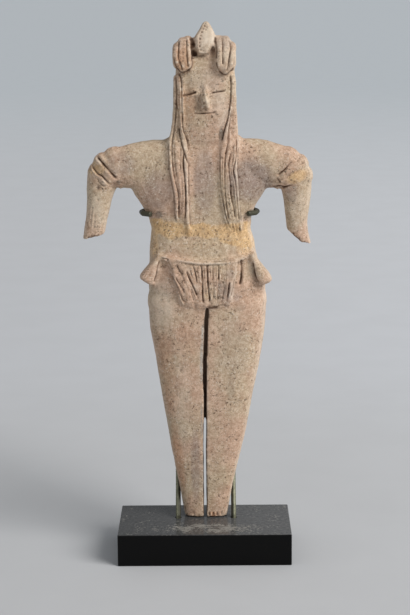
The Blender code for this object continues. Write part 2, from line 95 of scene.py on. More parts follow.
# %% The camera
PICTURE_HEIGHT = 615
FOCAL_PIXELS = 1600
SENSOR = 36.0
CAMERA_PLACE = (0.004749, -0.718330, 0.263726)
CAMERA_DOWN, CAMERA_TURN, CAMERA_ROLL = 11.5555, 0.3, -0.5

camera_data = bpy.data.cameras.new("photo_camera")
camera_data.sensor_width = SENSOR
camera_data.lens = SENSOR * FOCAL_PIXELS / PICTURE_HEIGHT
camera_data.clip_start, camera_data.clip_end = 0.01, 200
camera = new_object("photo_camera", camera_data)
turn = Matrix.Rotation(math.radians(CAMERA_TURN), 4, "Z")
tilt = Matrix.Rotation(math.radians(90 - CAMERA_DOWN), 4, "X")
roll = Matrix.Rotation(math.radians(CAMERA_ROLL), 4, "Z")
camera.matrix_world = Matrix.Translation(CAMERA_PLACE) @ turn @ tilt @ roll
bpy.context.scene.camera = camera
print(f"lens {camera_data.lens:.1f} mm")

# %% [markdown]
# Shader maths is easier to read as Python. A `Field` is something that changes over a surface: one output
# of a shader node. Adding two fields, or a field and a number, adds the Math node that does it. A `Finish`
# is a material, and its `node` method makes every other node: first its settings, then its sockets.

# %% Fields and finishes
class Field:
    """One output of a shader node."""

    def __init__(self, finish, socket):
        self.finish, self.socket = finish, socket

    def maths(self, operation, first, second):
        sockets = {"Value": first, "Value_001": second}
        return self.finish.node("ShaderNodeMath", {"operation": operation}, sockets)

    def __add__(self, other):
        return self.maths("ADD", self, other)

    def __sub__(self, other):
        return self.maths("SUBTRACT", self, other)

    def __rsub__(self, other):
        return self.maths("SUBTRACT", other, self)

    def __mul__(self, other):
        return self.maths("MULTIPLY", self, other)

    def __truediv__(self, other):
        return self.maths("DIVIDE", self, other)

    def __pow__(self, other):
        return self.maths("POWER", self, other)

    __radd__, __rmul__ = __add__, __mul__


class Finish:
    """A material that is built from nodes."""

    def __init__(self, name):
        self.material = bpy.data.materials.new(name)
        self.material.use_nodes = True
        self.tree = self.material.node_tree
        self.tree.nodes.clear()

    def node(self, kind, settings, sockets, result=0):
        made = self.tree.nodes.new(kind)
        for setting, value in settings.items():
            setattr(made, setting, value)
        for name, value in sockets.items():
            socket = next(s for s in made.inputs if name in (s.identifier, s.name))
            if isinstance(value, Field):
                self.tree.links.new(value.socket, socket)
            else:
                socket.default_value = value
        return Field(self, made.outputs[result] if made.outputs else None)

    def step(self, value, start, end, low=0.0, high=1.0):
        """Low up to start, high from end on, and a smooth rise between them."""
        sockets = {"Value": value, "From Min": start, "From Max": end, "To Min": low, "To Max": high}
        return self.node("ShaderNodeMapRange", {"interpolation_type": "SMOOTHSTEP"}, sockets)

    def blend(self, share, first, second, way="MIX"):
        """A colour between two colours."""
        settings = {"data_type": "RGBA", "blend_type": way}
        sockets = {"Factor_Float": share, "A_Color": first, "B_Color": second}
        return self.node("ShaderNodeMix", settings, sockets, result=2)

    def places(self):
        """The surface's places in the figure's units."""
        place = self.node("ShaderNodeTexCoord", {}, {}, result=3)
        return self.node("ShaderNodeVectorMath", {"operation": "SCALE"}, {"Vector": place, "Scale": 1 / UNIT})

    def axes(self, place):
        """The x, y and z of a place."""
        split = self.node("ShaderNodeSeparateXYZ", {}, {"Vector": place})
        return [Field(self, output) for output in split.socket.node.outputs]

    def cloud(self, place, size, detail=2.0, roughness=0.5):
        """Soft noise with features of about this size, from 0 to 1."""
        sockets = {"Vector": place, "Scale": 1 / size, "Detail": detail, "Roughness": roughness}
        return self.node("ShaderNodeTexNoise", {}, sockets)

    def painted(self, name):
        """A mask that was worked out on the mesh."""
        return self.node("ShaderNodeAttribute", {"attribute_name": name}, {}, result=2)

    def shine(self, **sockets):
        """Ends the material in a Principled shader. Underscores in the names stand for spaces."""
        named = {name.replace("_", " "): value for name, value in sockets.items()}
        surface = self.node("ShaderNodeBsdfPrincipled", {}, named)
        self.node("ShaderNodeOutputMaterial", {}, {"Surface": surface})
        return self.material


def colour(red, green, blue):
    """A colour as Blender wants it, from the 0 to 255 values of a paint chart."""
    return (*((value / 255) ** 2.2 for value in (red, green, blue)), 1.0)


def grey(value):
    return (value, value, value, 1.0)


# %% [markdown]
# The studio is a plain grey floor that runs far back and fills the picture, so no wall gets in the way of a
# camera that walks round the object. Light and shade are painted into the paper's colour: painted light makes
# it palest some way behind the object, and painted shade makes it darker far off and a little darker on the
# side away from the lamp.

# %% The studio floor
FLOOR_REACH = 60.0
floor_mesh = bpy.data.meshes.new("studio_floor")
floor_corners = [(x * FLOOR_REACH, y * FLOOR_REACH, 0) for x, y in ((-1, -1), (1, -1), (1, 1), (-1, 1))]
floor_mesh.from_pydata(floor_corners, [], [(0, 1, 2, 3)])
floor = new_object("studio_floor", floor_mesh)

NEAR, MIDDLE, FAR = 120.0, 450.0, 3500.0  # from the block, in the figure's units
SIDE_REACH = 200.0

paper = Finish("grey_paper")
paper_place = paper.places()
from_block = paper.node("ShaderNodeVectorMath", {"operation": "LENGTH"}, {"Vector": paper_place}, result=1)
to_middle = paper.step(from_block, NEAR, MIDDLE)
to_far = paper.step(from_block, MIDDLE, FAR)
# Painted light: the paper is made palest some way behind the block, and darker far off as painted shade.
paper_and_painted_light = paper.blend(to_middle, colour(196, 197, 199), colour(202, 204, 208))
paper_and_painted_light = paper.blend(to_far, paper_and_painted_light, colour(184, 190, 195))
across = paper.axes(paper_place)[0]
# Painted shade: the paper is made darker on the left, away from the lamp, fading out far off.
painted_side_shade = paper.step(across, -SIDE_REACH, SIDE_REACH, 0.2, 0.0) * (1 - to_far * 0.75)
paper_and_painted_light = paper.blend(painted_side_shade, paper_and_painted_light, grey(0.25))
paper_and_painted_light = paper.blend(paper.step(paper.cloud(paper_place, 40.0, detail=4.0), 0.3, 0.7, 0.0, 0.05),
                           paper_and_painted_light, grey(0.3))
floor_mesh.materials.append(paper.shine(Base_Color=paper_and_painted_light, Roughness=0.8))

# %% [markdown]
# The light is soft and comes from the right: the block throws one soft shadow to the left, the left flanks of
# the nose, the coils and the arms are dark, and the right-hand edges of the clay are the brightest. One big
# lamp does that. It is a sun with a wide disc, so far off that it lights the whole floor alike. A weak one
# fills from the left, and the room's own light does the rest.

# %% The lamps
def far_lamp(name, towards, power, softness, tint):
    """A sun. Towards is the way from the figure to it."""
    data = bpy.data.lights.new(name, "SUN")
    data.energy = power
    data.angle = math.radians(softness)
    data.color = tint
    made = new_object(name, data)
    made.rotation_euler = Vector(towards).to_track_quat("Z", "Y").to_euler()


far_lamp("key_lamp", (0.69, -0.48, 0.60), 2.95, 38, (1.0, 0.985, 0.965))
far_lamp("fill_lamp", (-0.6, -0.7, 0.5), 0.15, 90, (0.96, 0.98, 1.0))

room = bpy.data.worlds.new("room_light")
room.use_nodes = True
room.node_tree.nodes["Background"].inputs["Color"].default_value = (0.92, 0.96, 1.0, 1.0)
room.node_tree.nodes["Background"].inputs["Strength"].default_value = 0.36
bpy.context.scene.world = room
bpy.context.scene.view_settings.view_transform = "Standard"

# %% [markdown]
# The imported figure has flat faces. The real clay is smooth where fingers stroked it and crisp where a tool
# cut it. So the solid is skinned again with small even squares by a voxel remesh, which keeps its form and
# makes one skin of it.
#
# A remesh can't keep a gap that is hardly wider than its squares, such as the slit between the legs. So the
# legs are first pushed apart by a millimetre, skinned, and then brought back by the opposite move.

# %% A fine skin over the clay
SKIN_SQUARE = 0.78
SLIT_HEIGHTS, SLIT_PLACES = (0, 33, 58, 77, 92, 103), (0.25, 0.25, 0.65, 0.85, 1.45, 2.0)
SPREAD, SPREAD_REACH = 0.9, 0.5
SPREAD_END, SPREAD_TOP = 101, 107  # heights between which the push fades out


def unit_step(value, start, end):
    """0 up to start, 1 from end on, and a smooth rise between them."""
    share = np.clip((value - start) / (end - start), 0, 1)
    return share * share * (3 - 2 * share)


def slit_at(height):
    """The x of the middle of the slit between the legs."""
    return np.interp(height, SLIT_HEIGHTS, SLIT_PLACES)


def pushed(gap, height):
    """How far from the slit a point comes to lie that was this far from it."""
    return gap + SPREAD * (1 - unit_step(height, SPREAD_END, SPREAD_TOP)) * np.tanh(gap / SPREAD_REACH)


def parted(places):
    x, y, height = places.T
    middle = slit_at(height)
    return np.column_stack([middle + pushed(x - middle, height), y, height])


def closed(places):
    """The opposite of parted, found by halving the range in which the answer lies."""
    x, y, height = places.T
    target = x - slit_at(height)
    low, high = target - SPREAD, target + SPREAD
    for _ in range(24):
        guess = (low + high) / 2
        too_far = pushed(guess, height) > target
        low, high = np.where(too_far, low, guess), np.where(too_far, guess, high)
    return np.column_stack([slit_at(height) + (low + high) / 2, y, height])


def points_of(mesh):
    points = np.empty(len(mesh.vertices) * 3, np.float32)
    mesh.vertices.foreach_get("co", points)
    return points.reshape(-1, 3).astype(float)


def edges_of(mesh):
    edges = np.empty(len(mesh.edges) * 2, np.int32)
    mesh.edges.foreach_get("vertices", edges)
    return edges.reshape(-1, 2)


def normals_of(mesh):
    normals = np.empty(len(mesh.vertices) * 3, np.float32)
    mesh.vertex_normals.foreach_get("vector", normals)
    return normals.reshape(-1, 3).astype(float)


def put_points(mesh, points):
    mesh.vertices.foreach_set("co", points.astype(np.float32).ravel())
    mesh.update()


def fine_skin(node, square, name, before=lambda places: places, after=lambda places: places):
    """A new object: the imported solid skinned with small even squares."""
    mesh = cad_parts[node].data.copy()
    form = bmesh.new()
    form.from_mesh(mesh)
    bmesh.ops.remove_doubles(form, verts=form.verts, dist=1e-6)
    form.to_mesh(mesh)
    form.free()
    put_points(mesh, in_metres(before(drawn(points_of(mesh)))))
    made = new_object(name, mesh)
    remesh = made.modifiers.new("even_squares", "REMESH")
    remesh.mode = "VOXEL"
    remesh.voxel_size = square * UNIT
    graph = bpy.context.evaluated_depsgraph_get()
    skin = bpy.data.meshes.new_from_object(made.evaluated_get(graph))
    made.modifiers.clear()
    skin.materials.clear()
    made.data = skin
    bpy.data.meshes.remove(mesh)
    put_points(skin, in_metres(after(drawn(points_of(skin)))))
    return made


clay = fine_skin("figurine", SKIN_SQUARE, "clay_figure", parted, closed)
print(len(clay.data.polygons), "squares on the clay")

# %% [markdown]
# Smoothing a mesh also shrinks it, unless each step inwards is followed by a slightly longer step outwards.
# That takes the flat facets away and leaves the limbs as thick as they were. Plain clay gets many rounds, the
# hair, the bands and the apron a few, and the edges of the slit and of the crest hardly any, so that they
# stay crisp.

# %% Smoothing without shrinking
STEP_IN, STEP_OUT = 0.5, -0.53
CRISP_ROUNDS, FINE_ROUNDS, PLAIN_ROUNDS = 2, 7, 34


def neighbour_mean(values, edges):
    """For each point, the mean of the values at its neighbours."""
    first, second = edges[:, 0], edges[:, 1]
    total = np.empty_like(values)
    for axis in range(values.shape[1]):
        total[:, axis] = np.bincount(first, values[second, axis], len(values))
        total[:, axis] += np.bincount(second, values[first, axis], len(values))
    return total / np.bincount(edges.ravel(), minlength=len(values))[:, None]


def smoothed(points, edges, rounds, weight=1.0):
    for _ in range(rounds):
        for step in (STEP_IN, STEP_OUT):
            points = points + step * weight * (neighbour_mean(points, edges) - points)
    return points


def inside(value, low, high, soft=2.0):
    """1 between low and high, 0 outside them, with soft edges inside the range."""
    return unit_step(value, low, low + soft) * unit_step(-value, -high, -high + soft)


def crisp_places(places):
    """1 at the slit, at the crest and at the broken ends of the arms."""
    x, y, height = places.T
    slit = inside(x - slit_at(height), -3.2, 3.2) * unit_step(-height, -106, -103)
    crest = inside(x, -4.0, 7.5, 1.0) * unit_step(height, 213, 215) * unit_step(-y, -1, 1)
    stumps = unit_step(abs(x), 34, 36) * unit_step(-height, -141, -138)
    return np.maximum.reduce([slit, crest, stumps])


def fine_places(places):
    """1 where the fine work is, and 0 on the plain clay."""
    x, y, height = places.T
    head = unit_step(height, 174, 180)
    locks = unit_step(height, 129, 134) * inside(x, -19.5, 22.5, 3) * unit_step(-y, -3, 0)
    bands = unit_step(abs(x), 27, 31) * unit_step(height, 148, 152)
    apron = inside(height, 100, 133, 4) * unit_step(-y, -2, 1)
    apron *= np.maximum(inside(x, -18.5, 21.5, 4), unit_step(height, 106, 111))
    belt_ends = inside(height, 109, 129) * unit_step(abs(x - 1.5), 19, 21) * unit_step(-y, -4, -1)
    return np.maximum.reduce([head, locks, bands, apron, belt_ends, crisp_places(places)])


edges = edges_of(clay.data)
points = smoothed(points_of(clay.data), edges, CRISP_ROUNDS)
crisp, fine = crisp_places(drawn(points))[:, None], fine_places(drawn(points))[:, None]
points = smoothed(points, edges, FINE_ROUNDS, 1 - crisp)
points = smoothed(points, edges, PLAIN_ROUNDS, 1 - fine)
put_points(clay.data, points)
print(f"fine work on {100 * fine.mean():.0f} % of the points")

# %% [markdown]
# Now the clay is worked as its maker worked it. A pointed tool drawn through leather-hard clay leaves a
# groove with a small burr on each side, shallow at both ends. The strokes are first only written down. That
# way the skin can be divided again just where a stroke will pass, and stay coarse on the plain clay.
#
# Each stroke is a smooth curve through a few corners, given as x and height on the front. A smear has no
# depth and only leaves a tinge: dirt, ochre, a rubbed pale edge, a painted shadow or a painted highlight,
# whichever mask it is given. A dab is round, as a fingertip or a grain leaves it.

# %% The sculptor's strokes
STROKE_STEP = 1.2
SMEAR_TAPER = 0.3
Stroke = namedtuple("Stroke", "line width depth burr taper stain mask front")
Dab = namedtuple("Dab", "x height radius depth stain mask")
strokes, dabs = [], []


def curve_through(corners):
    """A smooth line that passes through its corners."""
    corners = np.array(corners, float)
    corners = np.vstack([2 * corners[0] - corners[1], corners, 2 * corners[-1] - corners[-2]])
    line = []
    for before, start, end, after in zip(corners, corners[1:], corners[2:], corners[3:]):
        count = max(1, round(float(np.linalg.norm(end - start)) / STROKE_STEP))
        for share in np.arange(count) / count:
            bent = (2 * before - 5 * start + 4 * end - after) * share**2
            twisted = (3 * start - before - 3 * end + after) * share**3
            line.append(start + 0.5 * ((end - before) * share + bent + twisted))
    return np.array([*line, corners[-2]])


def stroke(corners, width, depth, stain, burr=0.3, taper=0.12, front=True):
    """Draws the tool through the clay. A depth below zero raises a ridge."""
    strokes.append(Stroke(curve_through(corners), width, depth, burr, taper, stain, "groove", front))


def smear(corners, width, stain, mask="pale"):
    """Colours the clay along a line and leaves its shape."""
    strokes.append(Stroke(curve_through(corners), width, 0.0, 0.0, SMEAR_TAPER, stain, mask, True))


def dab(x, height, radius, depth, stain, mask="groove"):
    """Presses a round hollow, or raises a mound where depth is below zero."""
    dabs.append(Dab(x, height, radius, depth, stain, mask))


# %% [markdown]
# The face is the simplest there is: two slits for the eyes, one for the mouth and a pinched nose. The
# nose's crest is a low ridge that leans to the right. The hollows beside it were pressed with a fingertip.

# %% The face
# The dark tinges of the dabs beside and under the nose are painted shade.
FACE_DABS = [  # x, height, radius, depth and stain
    (5.9, 190.8, 0.6, 0.2, 0.6), (-2.6, 196, 2, 0.75, 0.35), (-0.2, 201.2, 1.6, 0.5, 0),
    (4, 201.4, 1.6, 0.4, 0), (7, 197, 1.8, 0.45, 0.12), (-0.5, 194.6, 1.5, 0.7, 0.3),
    (-0.9, 197.2, 0.7, 0.2, 0.5), (1.3, 195.3, 0.6, 0.3, 0.8), (1.9, 193.2, 0.9, 0.3, 0.75),
    (4.8, 194, 1.5, 0.6, 0.1), (2, 192.4, 1, 0.4, 0.55),
]
stroke([(-8, 198.3), (-6.4, 198.6), (-4.6, 199.1), (-2, 199.9)], 0.5, 1.1, 1, taper=0.06)
stroke([(4.9, 199.4), (7, 199.8), (10.9, 200.3)], 0.36, 0.8, 0.95, taper=0.06)
stroke([(-3.2, 190.6), (0.4, 190.4), (3, 190.4), (6.5, 190.9)], 0.32, 0.7, 0.9, burr=0.15, taper=0.03)
for spot in FACE_DABS:
    dab(*spot)
stroke([(1.8, 199.8), (2.1, 197.8), (2.4, 196.2), (2.8, 194.6)], 0.55, -0.6, 0, burr=0)
# Painted highlights on the nose's right flank and on the right cheek, and painted shade down the nose's left
# flank.
smear([(2.3, 198.8), (2.8, 197), (3.5, 195), (4.3, 193.4)], 0.7, 1)
smear([(13, 193), (11, 190.6), (9.2, 187.4), (8.2, 183.5)], 1.3, 0.9)
smear([(0.3, 198.6), (0.6, 196.5), (1, 194.8), (1.9, 193.2)], 0.6, 0.5, "groove")

# %% [markdown]
# The hair is long coils of clay pressed on to the head and chest, three on each side, and cut lengthways with
# the tool. The deepest cuts run between the coils, and finer ones split each coil into strands. The
# right-hand strand of each lock, nearest the chest on one side and the arm on the other, is lightened as a
# painted highlight, and the edges where the locks meet the body are darkened as painted shade.

# %% The long locks of hair
LOCK_CUTS = [
    [(-11.2, 207), (-10.9, 200), (-11.2, 194), (-11.7, 187), (-12.6, 181), (-13.2, 176), (-12.9, 168),
     (-11.7, 160), (-10.6, 155), (-10.3, 149), (-10.4, 143)],
    [(-9.6, 208.5), (-8.7, 204), (-8.6, 194), (-8.5, 188), (-8, 183.5), (-6.2, 178.5), (-5.5, 174)],
    [(-10.2, 184), (-8.9, 177), (-7.3, 171.8), (-5.9, 168.4)],
    [(-8.1, 173), (-8.2, 167), (-7.6, 161), (-7.3, 152), (-7.7, 143.5)],
    [(13.2, 207.5), (13.3, 202), (13, 196), (12.3, 191), (11.4, 187), (10.2, 183), (9.1, 178.4)],
    [(13.8, 192), (12.5, 183), (12, 177.7), (10.8, 172), (10.4, 166), (10.4, 157), (11, 149.5),
     (12.2, 142.5)],
    [(13.2, 173), (12.2, 167), (12.7, 161), (13.2, 153.5), (14.4, 148), (14.9, 143.5)],
    [(15.8, 179), (15.6, 170), (14.2, 165.6), (15, 161), (15.7, 156), (16.4, 148), (16.7, 142.5)],
]
LOCK_SPLITS = [
    [(-12.2, 178), (-12, 169), (-11, 161), (-9.7, 154), (-9.2, 147)],
    [(-9.6, 172), (-9.3, 164), (-8.7, 156), (-8.8, 148)],
    [(-11, 196), (-10.3, 190), (-10.6, 183), (-11, 178)],
    [(9.4, 171), (9.1, 163), (9.5, 155), (10.2, 147), (11.6, 141)],
    [(11.6, 171), (11.5, 164), (11.6, 156), (12.3, 149), (13.4, 143.5)],
    [(14.2, 177), (14, 171), (13.2, 165), (13.9, 160), (14.3, 154), (15.4, 147)],
    [(14.4, 200), (14.3, 192), (13.8, 186), (13.7, 180)],
]
LOCK_EDGES = [
    [(-15, 177.5), (-14.7, 167), (-13.6, 159.5), (-12.7, 153.5), (-12.5, 147), (-12, 142)],
    [(-5.4, 174), (-5.5, 168.6), (-5.5, 161), (-5.4, 153.7), (-5.3, 146), (-5, 139)],
    [(8.1, 174), (7.9, 166.6), (8.1, 161), (8.6, 155.4), (9.5, 149.8), (10.7, 144), (11.9, 140.6),
     (13.6, 137.6)],
    [(16.7, 176), (16.4, 168.4), (16.6, 161), (17.1, 153.5), (17.6, 146), (18, 141)],
]
PAINTED_HIGHLIGHT_STRANDS = [
    [(-6.9, 174), (-6.8, 163), (-6.4, 152), (-6.3, 140)],
    [(16.4, 176), (15.6, 168), (16.3, 158), (17, 150), (17.5, 143)],
]
FRAYED_ENDS = [
    [(13.4, 141.5), (14.6, 136.4)], [(15, 141.2), (15.6, 136)], [(16.6, 141), (17, 136.2)],
    [(18.1, 141.2), (18.6, 137)],
]
for line in LOCK_CUTS:
    stroke(line, 0.34, 0.8, 0.85, burr=0.15, taper=0.03)
for line in LOCK_SPLITS:
    stroke(line, 0.26, 0.35, 0.55, burr=0.1, taper=0.05)
# The dark tinge along the edges of the locks is painted shade.
for line in LOCK_EDGES:
    stroke(line, 0.4, 0.45, 0.65, burr=0, taper=0.05)
# Painted highlights on the right-hand strand of each lock.
for line in PAINTED_HIGHLIGHT_STRANDS:
    smear(line, 0.5, 0.8)
for line in FRAYED_ENDS:
    stroke(line, 0.28, 0.45, 0.5)

# %% [markdown]
# Each bun is a flat cake of clay folded over the head and scored into lobes, and its lower rim overhangs
# the forehead. Between the buns a pointed crest stands up, with a row of nicks along its left edge.

# %% The buns and the crest
BUN_CUTS = [
    [(-9.7, 222.1), (-9.8, 218.6), (-9.7, 215.1), (-8.6, 211.6), (-8.1, 209.2)],
    [(-6.3, 223.3), (-6.2, 218.6), (-5.9, 214.2), (-5.4, 210.9)],
    [(9.3, 224.1), (9.9, 220.6), (9.7, 217.6), (9.8, 212)],
    [(12.8, 222.7), (13.5, 219.7), (12.7, 215.8), (12.1, 211.5), (11.6, 209)],
]
BUN_RIMS = [
    [(-11.9, 215.1), (-10.9, 211.6), (-9.1, 208.9), (-8.1, 208.6), (-6.4, 208.8), (-4.2, 210.3), (-3.5, 212),
     (-3.6, 215.1)],
    [(6.6, 213.2), (7.2, 211.1), (8.3, 208.9), (9.8, 207.7), (11.2, 207.5), (12.7, 208.4), (13.4, 209.1),
     (14.7, 210.6)],
]
BUN_SIDES = [
    [(7.1, 224.5), (6.6, 221.1), (6.9, 217.6), (6.6, 214.1)],
    [(-3.6, 220.5), (-3.4, 217.5), (-3.5, 214)],
]
CREST_EDGE = [(2.2, 229.4), (1, 227.6), (0.4, 225.4), (-0.1, 223), (-0.4, 220.6), (-0.2, 218.2)]
CREST_NICKS = [  # x, height and stain
    (1.9, 228.9, 0.95), (2.9, 228.3, 0.75), (1.2, 227.6, 0.85), (2.4, 227.2, 0.7), (0.6, 226.2, 0.95),
    (0.2, 224.6, 0.8), (-0.2, 223.2, 1), (-0.4, 221.6, 0.8), (-0.3, 220, 1), (0.1, 218.4, 0.85),
    (1.2, 217.9, 0.75),
]
NICK_RADIUS, NICK_DEPTH = 0.55, 0.4
for line in BUN_CUTS:
    stroke(line, 0.34, 0.8, 0.9, burr=0.1, taper=0.05)
stroke([(15.1, 215.5), (14.7, 211.5)], 0.35, 0.4, 0.5)
# The dark tinge under each bun's rim is a painted shadow of the overhang.
for line in BUN_RIMS:
    stroke(line, 0.42, 0.4, 0.85, burr=0, taper=0.05)
# The dark tinge along the buns' inner sides, beside the crest, is painted shade.
for line in BUN_SIDES:
    stroke(line, 0.6, 0.5, 0.9, burr=0, taper=0.1)
smear(CREST_EDGE, 0.8, 0.6, "rust")
for x, height, stain in CREST_NICKS:
    dab(x, height, NICK_RADIUS, NICK_DEPTH, stain)
# Painted shade in the recess between the left bun and the crest, and a painted shadow under the crest's free
# lower edge.
stroke([(-4.6, 224.2), (-3.6, 221.8), (-3.3, 218.3), (-2.6, 216.4), (-3, 215)], 0.9, 0.5, 1, burr=0)
stroke([(-2.4, 215.9), (-0.2, 215.5), (2, 215.8)], 0.6, 0.4, 0.75, burr=0)
smear([(-1.6, 217.3), (1.5, 217.2), (3.8, 217.4)], 0.5, 1)
smear([(4, 228.8), (5.6, 225), (5.4, 222.4), (3.8, 218.6)], 1.6, 1)
smear([(3, 227.5), (2.4, 223.5), (2.2, 219.5)], 1.5, 0.9)
smear([(-2.2, 223), (-2, 219.5), (-1.6, 217.6)], 0.6, 0.6)

# %% [markdown]
# Three coils of clay go round each upper arm. The cuts between them are deep and dark, and no two of them are
# parallel. One coil ends in a leaf-shaped pinch, and a small ring was pressed in beside it.

# %% The armbands
RIGHT_GROOVE = [(37.1, 160.7), (38.8, 161.8), (40.3, 162.7), (41.7, 163.9), (43.2, 164.8)]
ARM_SCRATCHES = [
    [(-50.6, 152), (-51.6, 142)], [(-49.6, 149), (-50.8, 139)], [(-48.6, 146), (-49.3, 138)],
]
# A painted shadow line under the left shoulder, along the first coil's upper edge.
smear([(-43.4, 172.9), (-41.3, 171.7), (-39.4, 169.6), (-37.8, 167.2), (-36.4, 165.3)], 0.8, 0.35, "groove")
stroke([(-47, 171), (-45.2, 169.2), (-43.5, 167.3), (-41.8, 165.5), (-40.1, 163.4), (-38.4, 161.5)],
       0.55, 1.1, 1, taper=0.05)
stroke([(-40.9, 165.7), (-39.7, 164.7), (-38.3, 163.3)], 0.28, 0.35, 0.6)
stroke([(-49.8, 167.6), (-48.9, 166.2), (-47.6, 164.6), (-46.5, 163.4), (-45.2, 162.9), (-43.8, 161.5),
        (-42.5, 159.9), (-41.3, 158.5)], 0.42, 0.8, 0.85)
dab(-43.9, 160.1, 1.6, -0.6, 0.7, "pale")
# The dark tinge of this stroke is a painted shadow under the leaf-shaped coil.
stroke([(-46.9, 161.5), (-46.2, 159.8), (-45.1, 158.6), (-43.5, 157.6)], 0.36, 0.5, 0.6)
dab(-46.6, 157.3, 1.2, 0.55, 0.75)
dab(-46.6, 157.3, 0.5, -0.6, 0.5, "pale")
dab(-44.9, 156.7, 0.5, 0.3, 0.7)
dab(-40.1, 156.8, 0.5, 0.3, 0.7)
dab(-46.9, 151.6, 0.7, 0.4, 0.6)
# Painted shade in the corner between the left arm and the body.
smear([(-38.1, 161), (-37.2, 159.6), (-36, 158.9)], 1.3, 0.75, "smoke")
smear([(-44.4, 164.8), (-42.6, 163), (-40.6, 160.6)], 0.9, 0.4, "smoke")
smear([(-47.9, 171.2), (-46.3, 169.4), (-44.8, 167.7)], 0.6, 0.75)
smear([(-49, 168.6), (-47.6, 167.4)], 1.2, 0.8, "ochre")
dab(-50, 164.4, 1.4, -0.3, 0.8, "ochre")

# A painted shadow line under the right shoulder, along the first coil's upper edge.
smear([(42.2, 173.5), (39.9, 172.2), (38, 170.5), (36.3, 168.6), (34.6, 166.8)], 0.7, 0.3, "groove")
stroke([(34.2, 162.2), (35.7, 163.6), (37.5, 165.1), (39, 166.6), (39.8, 167.6), (40.7, 168.5)],
       0.45, 0.9, 0.9, taper=0.08)
for x, height in ((42.3, 169.5), (44, 169.8), (45.1, 171.2), (46.2, 161.3), (43.1, 168.6)):
    dab(x, height, 0.45, 0.3, 0.75)
stroke([(44, 166.8), (45.3, 167.4), (47.1, 167.8)], 0.28, 0.4, 0.6)
stroke(RIGHT_GROOVE, 0.7, 0.6, 0.3)
smear(RIGHT_GROOVE, 0.9, 0.6, "smoke")
stroke([(35.3, 160.1), (36.5, 160.3), (37.7, 160.8)], 0.3, 0.4, 0.6)
stroke([(33.7, 161.2), (34.7, 159.7), (35.5, 158.6)], 0.42, 0.6, 0.8)
stroke([(31.7, 156.4), (33.2, 156.8), (35, 157.2), (36.9, 156.6), (38.8, 157.2), (40.9, 157.7)],
       0.42, 0.6, 0.8)
dab(36.9, 156.6, 0.8, 0.4, 0.9)
smear([(40.2, 156.9), (43.2, 156.7)], 0.9, 0.5, "smoke")
# A painted highlight down the right arm's right-hand edge.
smear([(48.3, 160), (48, 152), (48.2, 144), (49, 137)], 0.7, 0.6)
for line in ARM_SCRATCHES:
    stroke(line, 0.35, 0.2, 0.25)

# %% [markdown]
# Both forearms are broken off. The broken ends are flat, with a dark chipped rim where the fired core shows.

# %% The broken ends
BREAKS = [
    [(-53.6, 133.6), (-49.6, 134.7), (-45.6, 135.7)],
    [(39.4, 136.6), (42.3, 134), (45.4, 131.7), (49, 130)],
]
BREAK_CHIPS = [  # x, height and radius
    (-51.6, 134.3, 0.9), (-50.2, 135, 0.7), (-49, 134.9, 0.8), (-47.2, 135.6, 0.5),
    (41.4, 135.4, 0.6), (44, 133.2, 0.7), (46.6, 131.6, 0.7), (48.2, 130.9, 0.5),
]
for line in BREAKS:
    smear(line, 0.5, 0.7, "groove")
for x, height, radius in BREAK_CHIPS:
    dab(x, height, radius, 0.35, 0.8)

# %% [markdown]
# The apron hangs from a thin cord. Its strands were scored with the tool in strokes that fan out from the
# bottom, some of them doubled. Two thick belt ends lie on the hips, and a deep slit is cut beside the apron.

# %% The belt and the apron
CORD = [(-11.5, 124.8), (-7.6, 124.3), (-3.8, 123.7), (1.2, 123.3), (6.5, 123.4), (10.4, 123.6),
        (15.4, 123.9)]
APRON_CUTS = [  # the line, its width, depth and stain
    ([(-15, 119), (-13.6, 117), (-11.8, 113.5), (-9.9, 108.6), (-8.3, 105.7)], 0.34, 0.45, 0.6),
    ([(-11.7, 122.6), (-10.3, 120), (-9.6, 118.4), (-8.1, 114.4)], 0.32, 0.5, 0.6),
    ([(-12.2, 117), (-9.4, 112.4), (-8.3, 110.1)], 0.34, 0.5, 0.8),
    ([(-7.1, 119.8), (-6.2, 117.2), (-4.7, 113.8), (-2.5, 108.6)], 0.34, 0.7, 0.95),
    ([(-4.5, 122.9), (-3.9, 121.5), (-3.1, 118.3), (-2.5, 114.6)], 0.3, 0.5, 0.65),
    ([(-0.7, 122.9), (-0.3, 119.8), (-0.1, 114), (0, 108.3), (0.3, 105.4)], 0.32, 0.75, 0.95),
    ([(2.1, 122.6), (2.3, 116.9), (2.6, 112.3), (3, 108.2), (3.1, 105.6)], 0.34, 0.8, 1),
    ([(4.7, 122.7), (4.6, 119.7), (4.8, 114.6), (4.9, 107.6)], 0.28, 0.5, 0.7),
    ([(7.2, 122.7), (7.3, 119.7), (7.2, 116)], 0.3, 0.6, 0.8),
    ([(9.7, 112.2), (9.1, 108.2), (8.5, 105.3)], 0.28, 0.4, 0.55),
    ([(12.1, 114.8), (11.5, 109.9), (10.8, 105.3)], 0.32, 0.6, 0.8),
    ([(14.6, 115.9), (14, 112.2), (13, 108.2)], 0.4, 0.7, 0.9),
]
APRON_SCRATCHES = [
    [(-9.8, 121.5), (-8, 115.5), (-6.3, 110.4)], [(-5.9, 121.5), (-4.6, 117)], [(-2.4, 122), (-1.5, 113)],
    [(0.7, 122), (1.2, 109)], [(3.4, 121.6), (3.8, 110)], [(6, 121.8), (6.2, 112)],
    [(8.9, 121.5), (8.5, 115.5)], [(10.8, 121), (10.4, 114)], [(13.6, 119.5), (12.9, 115)],
    [(6.7, 112.5), (6.5, 105.8)], [(-5.4, 111), (-4.2, 106.4)],
]
BELT_END_LEFT = [(-19.1, 124.9), (-19.9, 121.7), (-20.6, 118.4), (-21.5, 115.2), (-22, 113.7)]
BELT_END_RIGHT = [(22.4, 123.5), (23, 120.2), (23.8, 116.6), (24.7, 114.5), (25.4, 113.2)]
